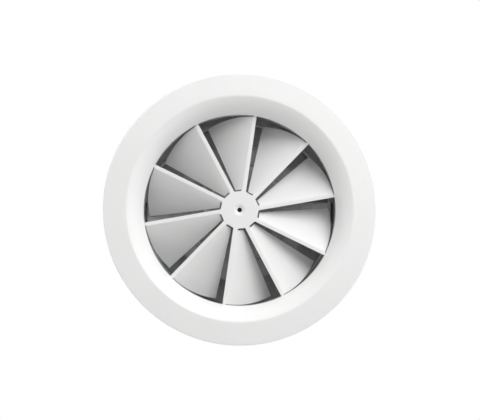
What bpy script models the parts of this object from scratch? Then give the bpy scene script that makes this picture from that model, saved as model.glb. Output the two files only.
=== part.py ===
"""Round ceiling swirl diffuser with a screw-driven throttle disc in its neck.

The face looks down (-Z) and the duct side looks up (+Z). The lowest circle of the face is z = 0 and the
round parts are centred on the Z axis. Lengths are in metres.
"""

import math

import bmesh
import bpy
from mathutils import Matrix, Vector

# General fits
GAP = 0.0003
AROUND = 60
SMALL_AROUND = 16
RIVET_AROUND = 8
DETAIL_AROUND = 10

# Face ring, spun from sheet
RING_RADIUS = 0.175
RING_SHEET = 0.0015
RIM_HEIGHT = 0.008
RIM_BEND = 0.002
BEAD_RADIUS = 0.146
FACE_SLOPE = math.radians(3.5)
THROAT_RADIUS = 0.1238
LAND_HEIGHT = 0.0245
LAND_RADIUS = 0.136
THROAT_FOLD = 0.0019
MOUTH_ANGLE = math.radians(25)
THROAT_ANGLE = math.radians(62)
MOUTH_STEPS = 5

# Foam gasket behind the face ring
GASKET_INNER = 0.156
GASKET_OUTER = 0.170

# Swirl core, pressed from one sheet
CORE_SHEET = 0.0012
BLADES = 10
PITCH = 2 * math.pi / BLADES
FIRST_BLADE = math.radians(9.94)
BLADE_TILT = math.radians(33)
BLADE_BEND = 0.003
BEND_STEPS = 3
EDGE_OFFSET = 0.0048
SPOKE_WIDTH = 0.0039
SPOKE_NECK = 0.0063
SLOT_WIDTH = 0.0012
HUB_RADIUS = 0.0246
BLADE_INNER = 0.0264
BLADE_OUTER = 0.1228
RIM_INNER = 0.1243
RIM_OUTER = 0.134
RIM_ARC_STEPS = 5
DIMPLE_RADIUS = 0.0065
DIMPLE_DEPTH = 0.002
DIMPLE_STEPS = ((1.0, 0.0), (0.86, 0.2), (0.62, 0.9))
HUB_HOLE_RADIUS = 0.003

# Neck collar
NECK_RADIUS = 0.1245
NECK_SHEET = 0.001
NECK_TOP = 0.135
NECK_FOLD = 0.0015
GROOVE_LOW = 0.097
GROOVE_HEIGHT = 0.011
GROOVE_DEPTH = 0.0025
GROOVE_SLOPE = 0.001

# Lip seal in the neck groove
SEAL_LIP = 0.004
SEAL_BASE = 0.0019
SEAL_INSET = 0.0015

# Rivets
RIVET_RADIUS = 0.0016
RIVET_HEAD = 0.0034
RIVET_HEAD_HEIGHT = 0.0013
RIVET_HEAD_FLAT = 0.0024
RIVET_TAIL = 0.0027
FLANGE_RIVETS = 5
FLANGE_RIVET_CIRCLE = 0.1305
FLANGE_RIVET_START = math.pi / AROUND
DISC_RIVETS = 3
DISC_RIVET_CIRCLE = 0.0145
SEAT_RIVETS = 4
SEAT_RIVET_RISE = 0.0085

# Bridge across the neck
BRIDGE_SHEET = 0.002
BRIDGE_WIDTH = 0.026
BRIDGE_BOTTOM = 0.064
BRIDGE_FOOT = 0.018
BRIDGE_BEND = 0.003
BRIDGE_RIVET_SPAN = 0.014
BRIDGE_RIVET_RISE = 0.011

# Adjusting spindle and what holds it in the bridge
SPINDLE_RADIUS = 0.004
SPINDLE_TOP = 0.132
SPINDLE_CHAMFER = 0.0007
SPINDLE_COLLAR_RADIUS = 0.007
SPINDLE_COLLAR_HEIGHT = 0.003
NOSE_RADIUS = 0.0028
NOSE_LENGTH = 0.012
NOSE_BOTTOM = 0.033
HEX_RADIUS = 0.00173
HEX_DEPTH = 0.004
BUSH_WALL = 0.0018
BUSH_FLANGE_RADIUS = 0.0095
BUSH_FLANGE = 0.0015
BUSH_RISE = 0.001
WASHER_RADIUS = 0.0085
WASHER_SHEET = 0.0008
CIRCLIP_SHEET = 0.001
CIRCLIP_RADIUS = 0.0075
CIRCLIP_GROOVE = 0.0008
CIRCLIP_MOUTH = 0.003

# Throttle disc and its carrier
DISC_RADIUS = 0.090
DISC_SHEET = 0.0012
DISC_RISE = 0.011
DISC_LIP = 0.006
DISC_BEND = 0.0015
BOSS_RADIUS = 0.0085
BOSS_RISE = 0.010
BOSS_FLANGE_RADIUS = 0.0185
BOSS_FLANGE = 0.003

# Guide rods
ROD_SPACING = 0.046
ROD_RADIUS = 0.003
ROD_STUB_RADIUS = 0.002
ROD_TOP = 0.126
GUIDE_WALL = 0.0017
GUIDE_LIP = 0.0022
GUIDE_LIP_HEIGHT = 0.0015

# Seat ring near the duct end
SEAT_RADIUS = 0.084
SEAT_SHEET = 0.001
SEAT_BOTTOM = 0.1185
SEAT_FLANGE = 0.0145
SEAT_LIP = 0.004
SEAT_BEND = 0.0012

# Finishes: colour, metallic, roughness
FINISHES = {
    "white_powder_coat": ((0.88, 0.88, 0.86), 0.0, 0.45),
    "galvanised_steel": ((0.62, 0.64, 0.66), 1.0, 0.4),
    "zinc_plated_steel": ((0.75, 0.76, 0.78), 1.0, 0.3),
    "aluminium_rivet": ((0.8, 0.8, 0.8), 1.0, 0.35),
    "black_rubber": ((0.03, 0.03, 0.03), 0.0, 0.8),
    "grey_foam": ((0.2, 0.2, 0.2), 0.0, 0.95),
    "natural_nylon": ((0.8, 0.79, 0.74), 0.0, 0.5),
    "brass": ((0.8, 0.6, 0.25), 1.0, 0.35),
}

# Heights and radii that follow from the sizes above
CORE_BOTTOM = LAND_HEIGHT + GAP
NECK_BOTTOM = CORE_BOTTOM + CORE_SHEET + GAP
NECK_INNER = NECK_RADIUS - NECK_SHEET
RIVET_HOLE = RIVET_RADIUS + GAP
BRIDGE_TOP = BRIDGE_BOTTOM + BRIDGE_SHEET
BUSH_BORE = SPINDLE_RADIUS + GAP
BUSH_RADIUS = SPINDLE_RADIUS + BUSH_WALL + GAP
BUSH_BOTTOM = BRIDGE_BOTTOM - GAP - BUSH_FLANGE
BUSH_TOP = BRIDGE_TOP + BUSH_RISE
WASHER_BOTTOM = BUSH_BOTTOM - GAP - WASHER_SHEET
COLLAR_TOP = WASHER_BOTTOM - GAP
CIRCLIP_BOTTOM = BUSH_TOP + GAP
DISC_BOTTOM = BRIDGE_TOP + DISC_RISE
DISC_TOP = DISC_BOTTOM + DISC_SHEET
BOSS_TOP = DISC_TOP + BOSS_RISE
BOSS_BOTTOM = DISC_BOTTOM - GAP - BOSS_FLANGE
GUIDE_BORE = ROD_RADIUS + GAP
GUIDE_RADIUS = GUIDE_BORE + GUIDE_WALL


def clear_scene():
    for obj in list(bpy.data.objects):
        bpy.data.objects.remove(obj, do_unlink=True)


def make_collection(name, hidden=False):
    collection = bpy.data.collections.new(name)
    collection.hide_render = hidden
    bpy.context.scene.collection.children.link(collection)
    return collection


def make_material(name, finish):
    colour, metallic, roughness = FINISHES[finish]
    material = bpy.data.materials.new(name)
    material.use_nodes = True
    shader = material.node_tree.nodes["Principled BSDF"]
    shader.inputs["Base Color"].default_value = (*colour, 1.0)
    shader.inputs["Metallic"].default_value = metallic
    shader.inputs["Roughness"].default_value = roughness
    return material


def add_object(name, mesh, collection, finish=None, location=(0, 0, 0), rotation=(0, 0, 0)):
    obj = bpy.data.objects.new(name, mesh)
    obj.location = location
    obj.rotation_euler = rotation
    collection.objects.link(obj)
    if finish:
        material = make_material(name + "_finish", finish)
        if mesh.materials:
            obj.material_slots[0].link = "OBJECT"
            obj.material_slots[0].material = material
        else:
            mesh.materials.append(material)
    return obj


def gather(name, members, collection):
    """Parents a moving group to an empty on the axis it moves along or turns about."""
    empty = bpy.data.objects.new(name, None)
    collection.objects.link(empty)
    for member in members:
        member.parent = empty


def mesh_from(builder, name):
    mesh = bpy.data.meshes.new(name)
    builder.to_mesh(mesh)
    builder.free()
    return mesh


def section_mesh(name, points, closed):
    """Edges through (radius, height) points in the XZ plane, ready to be turned about Z."""
    builder = bmesh.new()
    verts = [builder.verts.new((radius, 0, height)) for radius, height in points]
    for first, second in zip(verts, verts[1:]):
        builder.edges.new((first, second))
    if closed:
        builder.edges.new((verts[-1], verts[0]))
    return mesh_from(builder, name)


def turn(obj, steps):
    """Turns the section a full circle about Z."""
    screw = obj.modifiers.new("Turned", "SCREW")
    screw.axis = "Z"
    screw.steps = steps
    screw.render_steps = steps
    screw.use_merge_vertices = True
    screw.merge_threshold = 0.00001
    screw.use_smooth_shade = True
    return obj


def turned(name, points, collection, finish=None, steps=AROUND, closed=True, **place):
    mesh = section_mesh(name, points, closed)
    return turn(add_object(name, mesh, collection, finish, **place), steps)


def sheet_section(skin, thickness):
    """A closed section: the skin line, then the same line set back to its right by the thickness."""
    points = [Vector(point) for point in skin]
    normals = []
    for first, second in zip(points, points[1:]):
        along = (second - first).normalized()
        normals.append(Vector((along.y, -along.x)))
    back = []
    for index, point in enumerate(points):
        before = normals[max(index - 1, 0)]
        after = normals[min(index, len(normals) - 1)]
        middle = (before + after).normalized()
        back.append(point + middle * thickness / middle.dot(after))
    return [tuple(point) for point in points + back[::-1]]


def arc(centre, radius, start, end, steps):
    points = []
    for step in range(steps + 1):
        angle = math.radians(start + (end - start) * step / steps)
        points.append((centre[0] + radius * math.cos(angle), centre[1] + radius * math.sin(angle)))
    return points


def cut(obj, cutter):
    boolean = obj.modifiers.new("Cut", "BOOLEAN")
    boolean.operation = "DIFFERENCE"
    boolean.solver = "EXACT"
    boolean.object = cutter


def cylinders(name, places, radius, depth, sides, collection):
    """One cutter holding a cylinder at each (location, direction)."""
    builder = bmesh.new()
    for location, direction in places:
        turn_to = Vector(direction).to_track_quat("Z", "Y").to_matrix().to_4x4()
        bmesh.ops.create_cone(
            builder,
            cap_ends=True,
            segments=sides,
            radius1=radius,
            radius2=radius,
            depth=depth,
            matrix=Matrix.Translation(location) @ turn_to,
        )
    cutter = add_object(name, mesh_from(builder, name), collection)
    cutter.hide_render = True
    cutter.display_type = "WIRE"
    return cutter


def rivet_mesh(grip):
    """A rivet through a stack from z = 0 to z = grip, its round head below."""
    top = grip + GAP
    points = [
        (0, top + RIVET_HEAD_HEIGHT),
        (RIVET_TAIL, top + RIVET_HEAD_HEIGHT),
        (RIVET_TAIL, top),
        (RIVET_RADIUS, top),
        (RIVET_RADIUS, -GAP),
        (RIVET_HEAD, -GAP),
        (RIVET_HEAD_FLAT, -GAP - RIVET_HEAD_HEIGHT),
        (0, -GAP - RIVET_HEAD_HEIGHT),
    ]
    return section_mesh("rivet", points, closed=False)


def add_rivets(name, places, grip, collection):
    mesh = rivet_mesh(grip)
    rivets = []
    for number, (location, direction) in enumerate(places, 1):
        rotation = Vector(direction).to_track_quat("Z", "Y").to_euler()
        place = {"location": location, "rotation": rotation}
        rivet = add_object(f"{name}_{number}", mesh, collection, "aluminium_rivet", **place)
        rivets.append(turn(rivet, RIVET_AROUND))
    return rivets


def ring_places(count, radius, height, start=0.0):
    places = []
    for index in range(count):
        angle = start + 2 * math.pi * index / count
        location = (radius * math.cos(angle), radius * math.sin(angle), height)
        places.append((location, (0, 0, 1)))
    return places


def flange_rivet_places(height):
    return ring_places(FLANGE_RIVETS, FLANGE_RIVET_CIRCLE, height, FLANGE_RIVET_START)


def face_height(radius):
    return (radius - BEAD_RADIUS) * math.tan(FACE_SLOPE)


def mouth_curve():
    """The bell mouth from beside the bead up to the throat, tangent to both end angles."""
    start = Vector((BEAD_RADIUS - RING_SHEET, RING_SHEET * math.tan(MOUTH_ANGLE) / 2))
    end = Vector((THROAT_RADIUS, LAND_HEIGHT - THROAT_FOLD))
    rise = end.y - start.y
    run = start.x - end.x
    leave = math.tan(MOUTH_ANGLE)
    arrive = math.tan(THROAT_ANGLE)
    across = (run * arrive - rise) / (arrive - leave)
    middle = Vector((start.x - across, start.y + across * leave))
    points = []
    for step in range(MOUTH_STEPS + 1):
        t = step / MOUTH_STEPS
        points.append(tuple(start * (1 - t) ** 2 + middle * 2 * t * (1 - t) + end * t * t))
    return points


def build_ring(parts, cutters):
    corner = RING_RADIUS - RIM_BEND
    skin = [(RING_RADIUS, RIM_HEIGHT)]
    skin += arc((corner, face_height(corner) + RIM_BEND), RIM_BEND, 0, -90, 2)
    skin.append((BEAD_RADIUS + RING_SHEET, face_height(BEAD_RADIUS + RING_SHEET)))
    skin.append((BEAD_RADIUS, 0))
    skin += mouth_curve()
    fold = (THROAT_RADIUS + THROAT_FOLD, LAND_HEIGHT - THROAT_FOLD)
    skin += arc(fold, THROAT_FOLD, 180, 90, 2)[1:]
    skin.append((LAND_RADIUS, LAND_HEIGHT))
    ring = turned("face_ring", sheet_section(skin, RING_SHEET), parts, "white_powder_coat")
    places = flange_rivet_places(LAND_HEIGHT)
    cut(ring, cylinders("ring_holes", places, RIVET_HOLE, 3 * RING_SHEET, DETAIL_AROUND, cutters))

    back = RING_SHEET / math.cos(FACE_SLOPE) + GAP
    gasket = [
        (GASKET_OUTER, RIM_HEIGHT),
        (GASKET_OUTER, face_height(GASKET_OUTER) + back),
        (GASKET_INNER, face_height(GASKET_INNER) + back),
        (GASKET_INNER, RIM_HEIGHT),
    ]
    turned("ceiling_gasket", gasket, parts, "grey_foam")


def along_circle(radius, across):
    """Where the line at this distance beside the spoke's middle line crosses a circle."""
    return math.sqrt(radius * radius - across * across)


def fold_up(across):
    """Bends the flat blank up past the spoke: (distance across, height) of a point of the sheet."""
    start = SPOKE_WIDTH - EDGE_OFFSET
    bent = min(max(across - start, 0) / BLADE_BEND, BLADE_TILT)
    straight = max(across - start - BLADE_BEND * BLADE_TILT, 0)
    flat = min(across, start)
    sideways = flat + BLADE_BEND * math.sin(bent) + straight * math.cos(BLADE_TILT)
    height = BLADE_BEND * (1 - math.cos(bent)) + straight * math.sin(BLADE_TILT)
    return sideways, height


def back_edge(radius):
    """Where the blade's back edge, beside the next spoke's front edge, crosses a circle."""
    offset = EDGE_OFFSET + SLOT_WIDTH
    reach = along_circle(radius, offset)
    along = reach * math.cos(PITCH) + offset * math.sin(PITCH)
    across = reach * math.sin(PITCH) - offset * math.cos(PITCH)
    return along, across


def arc_between(radius, start, end, steps):
    """Points on a circle between two angles measured from the spoke, as (along, across)."""
    points = []
    for step in range(steps + 1):
        angle = start + (end - start) * step / steps
        points.append((radius * math.cos(angle), radius * math.sin(angle)))
    return points


def window_outline():
    """The opening punched between one spoke and the next, in the flat blank."""
    spoke = SPOKE_WIDTH - EDGE_OFFSET
    neck = SPOKE_NECK - EDGE_OFFSET
    outline = [
        (along_circle(HUB_RADIUS, neck), neck),
        (along_circle(BLADE_INNER, spoke), spoke),
        (along_circle(BLADE_OUTER, spoke), spoke),
    ]
    start = math.asin(spoke / RIM_INNER)
    end = PITCH - math.asin(EDGE_OFFSET / RIM_INNER)
    outline += arc_between(RIM_INNER, start, end, RIM_ARC_STEPS)
    inner = PITCH - math.asin(EDGE_OFFSET / HUB_RADIUS)
    outline.append((HUB_RADIUS * math.cos(inner), HUB_RADIUS * math.sin(inner)))
    return outline


def blade_faces():
    """The neck gusset, bend strips and flat panel of one blade, as (along, across) rings in the flat blank."""
    spoke = SPOKE_WIDTH - EDGE_OFFSET
    neck = SPOKE_NECK - EDGE_OFFSET
    strips = [spoke + BLADE_BEND * BLADE_TILT * step / BEND_STEPS for step in range(BEND_STEPS + 1)]
    faces = []
    for near, far in zip(strips, strips[1:]):
        ring = [(along_circle(radius, near), near) for radius in (BLADE_INNER, BLADE_OUTER)]
        ring += [(along_circle(radius, far), far) for radius in (BLADE_OUTER, BLADE_INNER)]
        faces.append(ring)
    last = strips[-1]
    gusset = [(along_circle(BLADE_INNER, across), across) for across in strips + [neck]]
    for near, far in zip(gusset, gusset[1:]):
        faces.append([(along_circle(HUB_RADIUS, neck), neck), near, far])
    along, across = back_edge(BLADE_INNER)
    inner = arc_between(BLADE_INNER, math.asin(neck / BLADE_INNER), math.atan2(across, along), 2)
    along, across = back_edge(BLADE_OUTER)
    outer = arc_between(BLADE_OUTER, math.asin(last / BLADE_OUTER), math.atan2(across, along), 6)
    faces.append([gusset[-2]] + outer + inner[::-1])
    return faces


def spoke_matrix(index):
    """Takes (along, across, height) beside a spoke to the core's own frame."""
    angle = -(FIRST_BLADE + PITCH * index)
    return Matrix(
        (
            (math.cos(angle), math.sin(angle), 0),
            (math.sin(angle), -math.cos(angle), 0),
            (0, 0, 1),
        )
    )


def add_loop(builder, points):
    verts = [builder.verts.new(point) for point in points]
    pairs = zip(verts, verts[1:] + verts[:1])
    return verts, [builder.edges.new(pair) for pair in pairs]


def core_blank():
    """The pressed sheet's lower skin: flat rim, spokes and hub, dimple and bent blades."""
    builder = bmesh.new()
    outlines = []
    rim = [(RIM_OUTER, 2 * math.pi * step / AROUND) for step in range(AROUND)]
    outlines += add_loop(builder, [(r * math.cos(a), r * math.sin(a), 0) for r, a in rim])[1]
    for index in range(BLADES):
        matrix = spoke_matrix(index)
        window = [matrix @ Vector((*point, 0)) for point in window_outline()]
        outlines += add_loop(builder, window)[1]
    rings = []
    dimple = [(DIMPLE_RADIUS * across, DIMPLE_DEPTH * up) for across, up in DIMPLE_STEPS]
    dimple.append((HUB_HOLE_RADIUS, DIMPLE_DEPTH))
    for radius, height in dimple:
        turns = [2 * math.pi * step / SMALL_AROUND for step in range(SMALL_AROUND)]
        circle = [(radius * math.cos(a), radius * math.sin(a), height) for a in turns]
        rings.append(add_loop(builder, circle))
    outlines += rings[0][1]
    bmesh.ops.triangle_fill(builder, use_beauty=True, edges=outlines, normal=(0, 0, 1))
    for (outer, _), (inner, _) in zip(rings, rings[1:]):
        for step in range(SMALL_AROUND):
            after = (step + 1) % SMALL_AROUND
            builder.faces.new((outer[step], outer[after], inner[after], inner[step]))
    for index in range(BLADES):
        matrix = spoke_matrix(index)
        for ring in blade_faces():
            points = []
            for along, across in ring:
                on_hub = math.hypot(along, across) < BLADE_INNER - GAP
                sideways, height = (across, 0) if on_hub else fold_up(across)
                points.append(matrix @ Vector((along, sideways, height)))
            builder.faces.new([builder.verts.new(point) for point in points])
    bmesh.ops.remove_doubles(builder, verts=builder.verts, dist=0.00001)
    bmesh.ops.recalc_face_normals(builder, faces=builder.faces)
    upwards = sum(face.normal.z * face.calc_area() for face in builder.faces)
    if upwards < 0:
        bmesh.ops.reverse_faces(builder, faces=builder.faces)
    return mesh_from(builder, "swirl_core")


def build_core(parts, cutters):
    place = {"location": (0, 0, CORE_BOTTOM)}
    core = add_object("swirl_core", core_blank(), parts, "white_powder_coat", **place)
    solidify = core.modifiers.new("Sheet", "SOLIDIFY")
    solidify.thickness = CORE_SHEET
    solidify.offset = 1
    solidify.use_even_offset = True
    places = flange_rivet_places(CORE_BOTTOM)
    cut(core, cylinders("core_holes", places, RIVET_HOLE, 4 * CORE_SHEET, DETAIL_AROUND, cutters))


def build_neck(parts, cutters):
    groove_top = GROOVE_LOW + GROOVE_HEIGHT
    flange_top = NECK_BOTTOM + NECK_SHEET
    skin = [
        (NECK_RADIUS, NECK_TOP),
        (NECK_RADIUS, groove_top),
        (NECK_RADIUS - GROOVE_DEPTH, groove_top - GROOVE_SLOPE),
        (NECK_RADIUS - GROOVE_DEPTH, GROOVE_LOW + GROOVE_SLOPE),
        (NECK_RADIUS, GROOVE_LOW),
        (NECK_RADIUS, flange_top + NECK_FOLD),
        (NECK_RADIUS + NECK_FOLD, flange_top),
        (LAND_RADIUS, flange_top),
    ]
    neck = turned("neck_collar", sheet_section(skin, NECK_SHEET), parts, "galvanised_steel")
    places = flange_rivet_places(NECK_BOTTOM)
    cut(neck, cylinders("neck_holes", places, RIVET_HOLE, 4 * NECK_SHEET, DETAIL_AROUND, cutters))
    wall = bridge_rivet_places(NECK_RADIUS) + seat_rivet_places(NECK_RADIUS)
    cut(neck, cylinders("wall_holes", wall, RIVET_HOLE, 8 * NECK_SHEET, DETAIL_AROUND, cutters))

    stack = flange_rivet_places(LAND_HEIGHT - RING_SHEET)
    add_rivets("flange_rivet", stack, flange_top - LAND_HEIGHT + RING_SHEET, parts)

    bottom = NECK_RADIUS - GROOVE_DEPTH + GAP
    face = bottom + SEAL_BASE
    low = GROOVE_LOW + SEAL_INSET
    high = groove_top - SEAL_INSET
    middle = (low + high) / 2
    seal = [
        (face, high),
        (NECK_RADIUS + SEAL_LIP, middle),
        (face, middle),
        (face, middle - GAP),
        (NECK_RADIUS + SEAL_LIP, low - GAP),
        (face, low),
        (bottom, low),
        (bottom, high),
    ]
    turned("lip_seal", seal, parts, "black_rubber")


def foot_face():
    """X of the bridge foot's outer face: its upright edges just clear the neck's inside."""
    inside = NECK_INNER * math.cos(math.pi / AROUND)
    half = BRIDGE_WIDTH / 2
    return math.sqrt(inside * inside - half * half) - GAP


def bridge_rivet_places(distance):
    """Through each bridge foot and the neck beside it; the round head is on the outside."""
    places = []
    for side in (1, -1):
        for shift in (-BRIDGE_RIVET_SPAN / 2, BRIDGE_RIVET_SPAN / 2):
            location = (side * distance, shift, BRIDGE_BOTTOM + BRIDGE_RIVET_RISE)
            places.append((location, (-side, 0, 0)))
    return places


def seat_rivet_places(distance):
    places = []
    for index in range(SEAT_RIVETS):
        angle = math.pi / SEAT_RIVETS + 2 * math.pi * index / SEAT_RIVETS
        outward = Vector((math.cos(angle), math.sin(angle), 0))
        location = outward * distance
        location.z = SEAT_BOTTOM + SEAT_RIVET_RISE
        places.append((tuple(location), tuple(-outward)))
    return places


def strip_solid(name, section, width, parts, finish):
    """A solid of constant section in XZ, centred across Y."""
    builder = bmesh.new()
    verts = [builder.verts.new((x, -width / 2, z)) for x, z in section]
    face = builder.faces.new(verts)
    made = bmesh.ops.extrude_face_region(builder, geom=[face])["geom"]
    moved = [item for item in made if isinstance(item, bmesh.types.BMVert)]
    bmesh.ops.translate(builder, verts=moved, vec=(0, width, 0))
    bmesh.ops.recalc_face_normals(builder, faces=builder.faces)
    return add_object(name, mesh_from(builder, name), parts, finish)


def build_bridge(parts, cutters):
    face = foot_face()
    top = BRIDGE_BOTTOM + BRIDGE_FOOT
    right = arc((face - BRIDGE_BEND, BRIDGE_BOTTOM + BRIDGE_BEND), BRIDGE_BEND, 0, -90, 2)
    skin = [(face, top)] + right
    skin += [(-x, z) for x, z in reversed(skin)]
    bridge = strip_solid(
        "bridge_bar", sheet_section(skin, BRIDGE_SHEET), BRIDGE_WIDTH, parts, "galvanised_steel"
    )
    reach = 4 * BRIDGE_SHEET
    centre = [((0, 0, BRIDGE_TOP), (0, 0, 1))]
    cut(bridge, cylinders("bush_hole", centre, BUSH_RADIUS + GAP, reach, SMALL_AROUND, cutters))
    rods = [((side * ROD_SPACING, 0, BRIDGE_TOP), (0, 0, 1)) for side in (1, -1)]
    cut(bridge, cylinders("rod_holes", rods, ROD_STUB_RADIUS + GAP, reach, DETAIL_AROUND, cutters))
    feet = bridge_rivet_places(face)
    cut(bridge, cylinders("foot_holes", feet, RIVET_HOLE, reach, DETAIL_AROUND, cutters))
    add_rivets("bridge_rivet", bridge_rivet_places(NECK_RADIUS), NECK_RADIUS - face + BRIDGE_SHEET, parts)


def build_spindle(parts, cutters):
    groove = SPINDLE_RADIUS - CIRCLIP_GROOVE
    clip_top = CIRCLIP_BOTTOM + CIRCLIP_SHEET
    collar_bottom = COLLAR_TOP - SPINDLE_COLLAR_HEIGHT
    nose_top = NOSE_BOTTOM + NOSE_LENGTH
    points = [
        (0, SPINDLE_TOP),
        (SPINDLE_RADIUS - SPINDLE_CHAMFER, SPINDLE_TOP),
        (SPINDLE_RADIUS, SPINDLE_TOP - SPINDLE_CHAMFER),
        (SPINDLE_RADIUS, clip_top + GAP),
        (groove, clip_top + GAP),
        (groove, CIRCLIP_BOTTOM - GAP),
        (SPINDLE_RADIUS, CIRCLIP_BOTTOM - GAP),
        (SPINDLE_RADIUS, COLLAR_TOP),
        (SPINDLE_COLLAR_RADIUS, COLLAR_TOP),
        (SPINDLE_COLLAR_RADIUS, collar_bottom),
        (SPINDLE_RADIUS, collar_bottom),
        (SPINDLE_RADIUS, nose_top),
        (NOSE_RADIUS, nose_top),
        (NOSE_RADIUS, NOSE_BOTTOM),
        (0, NOSE_BOTTOM),
    ]
    spindle = turned("adjusting_spindle", points, parts, "zinc_plated_steel", SMALL_AROUND, closed=False)
    key = [((0, 0, NOSE_BOTTOM), (0, 0, 1))]
    cut(spindle, cylinders("key_socket", key, HEX_RADIUS, 2 * HEX_DEPTH, 6, cutters))

    bush = [
        (BUSH_RADIUS, BUSH_TOP),
        (BUSH_RADIUS, BUSH_BOTTOM + BUSH_FLANGE),
        (BUSH_FLANGE_RADIUS, BUSH_BOTTOM + BUSH_FLANGE),
        (BUSH_FLANGE_RADIUS, BUSH_BOTTOM),
        (BUSH_BORE, BUSH_BOTTOM),
        (BUSH_BORE, BUSH_TOP),
    ]
    turned("spindle_bush", bush, parts, "natural_nylon", SMALL_AROUND)
    washer_top = WASHER_BOTTOM + WASHER_SHEET
    washer = [
        (WASHER_RADIUS, washer_top),
        (WASHER_RADIUS, WASHER_BOTTOM),
        (BUSH_BORE, WASHER_BOTTOM),
        (BUSH_BORE, washer_top),
    ]
    thrust = turned("thrust_washer", washer, parts, "zinc_plated_steel", SMALL_AROUND)
    clip = [
        (CIRCLIP_RADIUS, clip_top),
        (CIRCLIP_RADIUS, CIRCLIP_BOTTOM),
        (groove + GAP, CIRCLIP_BOTTOM),
        (groove + GAP, clip_top),
    ]
    circlip = turned("spindle_circlip", clip, parts, "zinc_plated_steel", SMALL_AROUND)
    mouth = bmesh.new()
    shape = Matrix.Translation((0, CIRCLIP_RADIUS, CIRCLIP_BOTTOM)) @ Matrix.Diagonal(
        (CIRCLIP_MOUTH, 2 * CIRCLIP_RADIUS, 4 * CIRCLIP_SHEET, 1)
    )
    bmesh.ops.create_cube(mouth, size=1, matrix=shape)
    cutter = add_object("circlip_mouth", mesh_from(mouth, "circlip_mouth"), cutters)
    cutter.hide_render = True
    cutter.display_type = "WIRE"
    cut(circlip, cutter)
    gather("spindle_axis", (spindle, thrust, circlip), parts)


def build_throttle(parts, cutters):
    lip_bottom = DISC_TOP - DISC_LIP
    skin = [(BOSS_RADIUS + GAP, DISC_TOP)]
    skin += arc((DISC_RADIUS - DISC_BEND, DISC_TOP - DISC_BEND), DISC_BEND, 90, 0, 1)
    skin.append((DISC_RADIUS, lip_bottom))
    disc = turned("throttle_disc", sheet_section(skin, DISC_SHEET), parts, "galvanised_steel")
    rivets = ring_places(DISC_RIVETS, DISC_RIVET_CIRCLE, DISC_TOP, math.pi / 2)
    reach = 4 * DISC_SHEET
    cut(disc, cylinders("disc_rivet_holes", rivets, RIVET_HOLE, reach, DETAIL_AROUND, cutters))
    guides = [((side * ROD_SPACING, 0, DISC_TOP), (0, 0, 1)) for side in (1, -1)]
    hole = GUIDE_RADIUS + GAP
    cut(disc, cylinders("disc_guide_holes", guides, hole, reach, SMALL_AROUND, cutters))

    boss = [
        (BOSS_RADIUS, BOSS_TOP),
        (BOSS_RADIUS, BOSS_BOTTOM + BOSS_FLANGE),
        (BOSS_FLANGE_RADIUS, BOSS_BOTTOM + BOSS_FLANGE),
        (BOSS_FLANGE_RADIUS, BOSS_BOTTOM),
        (BUSH_BORE, BOSS_BOTTOM),
        (BUSH_BORE, BOSS_TOP),
    ]
    nut = turned("disc_nut", boss, parts, "brass", SMALL_AROUND)
    reach = 4 * BOSS_FLANGE
    cut(nut, cylinders("nut_rivet_holes", rivets, RIVET_HOLE, reach, DETAIL_AROUND, cutters))
    through = ring_places(DISC_RIVETS, DISC_RIVET_CIRCLE, BOSS_BOTTOM, math.pi / 2)
    members = [disc, nut] + add_rivets("disc_rivet", through, DISC_TOP - BOSS_BOTTOM, parts)

    lip = GUIDE_RADIUS + GUIDE_LIP
    over = DISC_TOP + GAP
    under = DISC_BOTTOM - GAP
    guide = [
        (lip, over + GUIDE_LIP_HEIGHT),
        (lip, over),
        (GUIDE_RADIUS, over),
        (GUIDE_RADIUS, under),
        (lip, under),
        (lip, under - GUIDE_LIP_HEIGHT),
        (GUIDE_BORE, under - GUIDE_LIP_HEIGHT),
        (GUIDE_BORE, over + GUIDE_LIP_HEIGHT),
    ]
    for number, side in enumerate((1, -1), 1):
        place = {"location": (side * ROD_SPACING, 0, 0)}
        name = f"guide_bush_{number}"
        members.append(turned(name, guide, parts, "natural_nylon", SMALL_AROUND, **place))
    gather("throttle_axis", members, parts)


def build_rods(parts):
    tail = BRIDGE_BOTTOM - GAP
    points = [
        (0, ROD_TOP),
        (ROD_RADIUS - SPINDLE_CHAMFER, ROD_TOP),
        (ROD_RADIUS, ROD_TOP - SPINDLE_CHAMFER),
        (ROD_RADIUS, BRIDGE_TOP + GAP),
        (ROD_STUB_RADIUS, BRIDGE_TOP + GAP),
        (ROD_STUB_RADIUS, tail),
        (ROD_RADIUS, tail),
        (ROD_RADIUS, tail - RIVET_HEAD_HEIGHT),
        (0, tail - RIVET_HEAD_HEIGHT),
    ]
    for number, side in enumerate((1, -1), 1):
        place = {"location": (side * ROD_SPACING, 0, 0)}
        name = f"guide_rod_{number}"
        turned(name, points, parts, "zinc_plated_steel", DETAIL_AROUND, closed=False, **place)


def build_seat(parts, cutters):
    outer = NECK_INNER - GAP
    skin = [(outer, SEAT_BOTTOM + SEAT_FLANGE)]
    skin += arc((outer - SEAT_BEND, SEAT_BOTTOM + SEAT_BEND), SEAT_BEND, 0, -90, 1)
    skin += arc((SEAT_RADIUS + SEAT_BEND, SEAT_BOTTOM + SEAT_BEND), SEAT_BEND, -90, -180, 1)
    skin.append((SEAT_RADIUS, SEAT_BOTTOM + SEAT_LIP))
    seat = turned("seat_ring", sheet_section(skin, SEAT_SHEET), parts, "galvanised_steel")
    holes = seat_rivet_places(outer)
    cut(seat, cylinders("seat_holes", holes, RIVET_HOLE, 8 * SEAT_SHEET, DETAIL_AROUND, cutters))
    add_rivets("seat_rivet", seat_rivet_places(NECK_RADIUS), NECK_RADIUS - outer + SEAT_SHEET, parts)


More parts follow.
